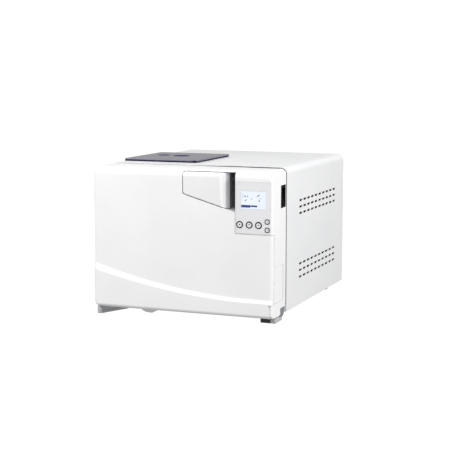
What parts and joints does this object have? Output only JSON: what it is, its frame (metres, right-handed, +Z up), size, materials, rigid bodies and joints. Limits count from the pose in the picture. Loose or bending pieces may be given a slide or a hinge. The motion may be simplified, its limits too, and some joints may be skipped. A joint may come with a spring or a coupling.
{
  "type": "benchtop autoclave",
  "caption": "Box-shaped benchtop steam autoclave with a deep side-hinged door, a recessed lever handle, a console column, water tanks under a smoked lid and vented sides.",
  "frame": {"origin": "middle of the footprint, on the surface that the feet stand on", "axes": "+Z up, the front with the door and the console faces -Y, +X to the right of a person who faces the front"},
  "size_m": [0.495, 0.624, 0.4],
  "materials": {
    "casing_paint": "fine satin powder coat",
    "white_moulding": "satin moulded plastic",
    "grey_fascia": "matte film over a moulding",
    "black_plastic": "matte",
    "display_glass": "glossy lit display window",
    "smoked_plastic": "smoked glossy sheet",
    "indigo_plastic": "glossy",
    "stainless": "brushed and polished",
    "zinc_steel": "zinc plated",
    "aluminium": "anodised",
    "cast_housing": "painted casting",
    "brass": "machined",
    "silicone": "moulded silicone",
    "insulation": "glass-fibre felt",
    "tank_plastic": "translucent moulded plastic",
    "rubber": "moulded rubber"
  },
  "bodies": {
    "cabinet": {"base_tray": "zinc_steel", "casing_wrap": "casing_paint", "front_frame": "casing_paint", "rear_panel": "casing_paint", "foot_front_left": "white_moulding", "foot_front_right": "white_moulding", "foot_rear_left": "rubber", "foot_rear_right": "rubber", "chamber_vessel": "stainless", "insulation_jacket": "insulation", "heater_band": "aluminium", "chamber_cradle": "zinc_steel", "tray_rack": "stainless", "tray_lower": "aluminium", "tray_middle": "aluminium", "tray_upper": "aluminium", "steam_generator": "stainless", "vacuum_pump": "cast_housing", "water_pump": "black_plastic", "power_supply": "aluminium", "bacterial_filter": "tank_plastic", "condenser": "aluminium", "fan_housing": "black_plastic", "power_inlet": "black_plastic", "safety_valve": "brass", "drain_outlet": "brass", "water_tank_used": "tank_plastic", "water_tank_clean": "tank_plastic", "tank_rim": "white_moulding", "side_column": "white_moulding", "control_fascia": "grey_fascia", "display_module": "black_plastic", "display_lens": "display_glass", "switch_insert": "black_plastic", "drain_niche": "white_moulding", "drain_manifold": "brass", "corner_bracket": "zinc_steel", "lock_keeper": "stainless", "hinge_bracket_lower": "zinc_steel", "hinge_bracket_upper": "zinc_steel"},
    "door": {"door_cover": "white_moulding", "door_liner": "white_moulding", "pressure_door": "stainless", "door_gasket": "silicone", "door_arm": "zinc_steel"},
    "handle": {"door_handle": "white_moulding"},
    "locking": {"lock_bar": "stainless"},
    "lid": {"tank_lid": "smoked_plastic"},
    "cap_used": {"filler_cap_used": "indigo_plastic"},
    "cap_clean": {"filler_cap_clean": "indigo_plastic"},
    "fan": {"fan_rotor": "black_plastic"},
    "flap": {"drain_flap": "white_moulding"},
    "rocker": {"rocker_switch": "black_plastic"},
    "valve_lower": {"drain_valve_lower": "black_plastic"},
    "valve_upper": {"drain_valve_upper": "black_plastic"},
    "round_key_1": {"round_button_1": "grey_fascia"},
    "round_key_2": {"round_button_2": "grey_fascia"},
    "round_key_3": {"round_button_3": "grey_fascia"},
    "square_key_1": {"square_button_1": "grey_fascia"},
    "square_key_2": {"square_button_2": "grey_fascia"}
  },
  "joints": [
    {"name": "door_hinge", "type": "hinge", "parent": "cabinet", "child": "door", "pos_m": [-0.2355, -0.213, 0.2], "axis": [0, 0, -1], "range_deg": [0, 97]},
    {"name": "handle_lever", "type": "hinge", "parent": "door", "child": "handle", "pos_m": [0.012, -0.3, 0.34], "axis": [0, 0, -1], "range_deg": [0, 35], "stiffness_Nm_per_rad": 0.6},
    {"name": "lock_slide", "type": "slide", "parent": "door", "child": "locking", "axis": [1, 0, 0], "range_m": [0, 0.012]},
    {"name": "lid_hinge", "type": "hinge", "parent": "cabinet", "child": "lid", "pos_m": [0, 0.087, 0.3964], "axis": [-1, 0, 0], "range_deg": [0, 95]},
    {"name": "cap_used_lift", "type": "slide", "parent": "cabinet", "child": "cap_used", "axis": [0, 0, 1], "range_m": [0, 0.04]},
    {"name": "cap_clean_lift", "type": "slide", "parent": "cabinet", "child": "cap_clean", "axis": [0, 0, 1], "range_m": [0, 0.04]},
    {"name": "fan_spin", "type": "hinge", "parent": "cabinet", "child": "fan", "pos_m": [-0.07, 0.267, 0.28], "axis": [0, 1, 0], "continuous": true},
    {"name": "flap_hinge", "type": "hinge", "parent": "cabinet", "child": "flap", "pos_m": [0.2434, -0.2264, 0.1], "axis": [0, 0, 1], "range_deg": [0, 90]},
    {"name": "rocker_tilt", "type": "hinge", "parent": "cabinet", "child": "rocker", "pos_m": [0.2422, -0.2245, 0.3225], "axis": [0, 1, 0], "range_deg": [0, 16]},
    {"name": "valve_lower_turn", "type": "hinge", "parent": "cabinet", "child": "valve_lower", "pos_m": [0.23, -0.258, 0.082], "axis": [1, 0, 0], "range_deg": [0, 90]},
    {"name": "valve_upper_turn", "type": "hinge", "parent": "cabinet", "child": "valve_upper", "pos_m": [0.23, -0.258, 0.122], "axis": [1, 0, 0], "range_deg": [0, 90]},
    {"name": "round_key_1_press", "type": "slide", "parent": "cabinet", "child": "round_key_1", "axis": [0, 1, 0], "range_m": [0, 0.0012], "stiffness_N_per_m": 800},
    {"name": "round_key_2_press", "type": "slide", "parent": "cabinet", "child": "round_key_2", "axis": [0, 1, 0], "range_m": [0, 0.0012], "stiffness_N_per_m": 800},
    {"name": "round_key_3_press", "type": "slide", "parent": "cabinet", "child": "round_key_3", "axis": [0, 1, 0], "range_m": [0, 0.0012], "stiffness_N_per_m": 800},
    {"name": "square_key_1_press", "type": "slide", "parent": "cabinet", "child": "square_key_1", "axis": [0, 1, 0], "range_m": [0, 0.0012], "stiffness_N_per_m": 800},
    {"name": "square_key_2_press", "type": "slide", "parent": "cabinet", "child": "square_key_2", "axis": [0, 1, 0], "range_m": [0, 0.0012], "stiffness_N_per_m": 800}
  ]
}
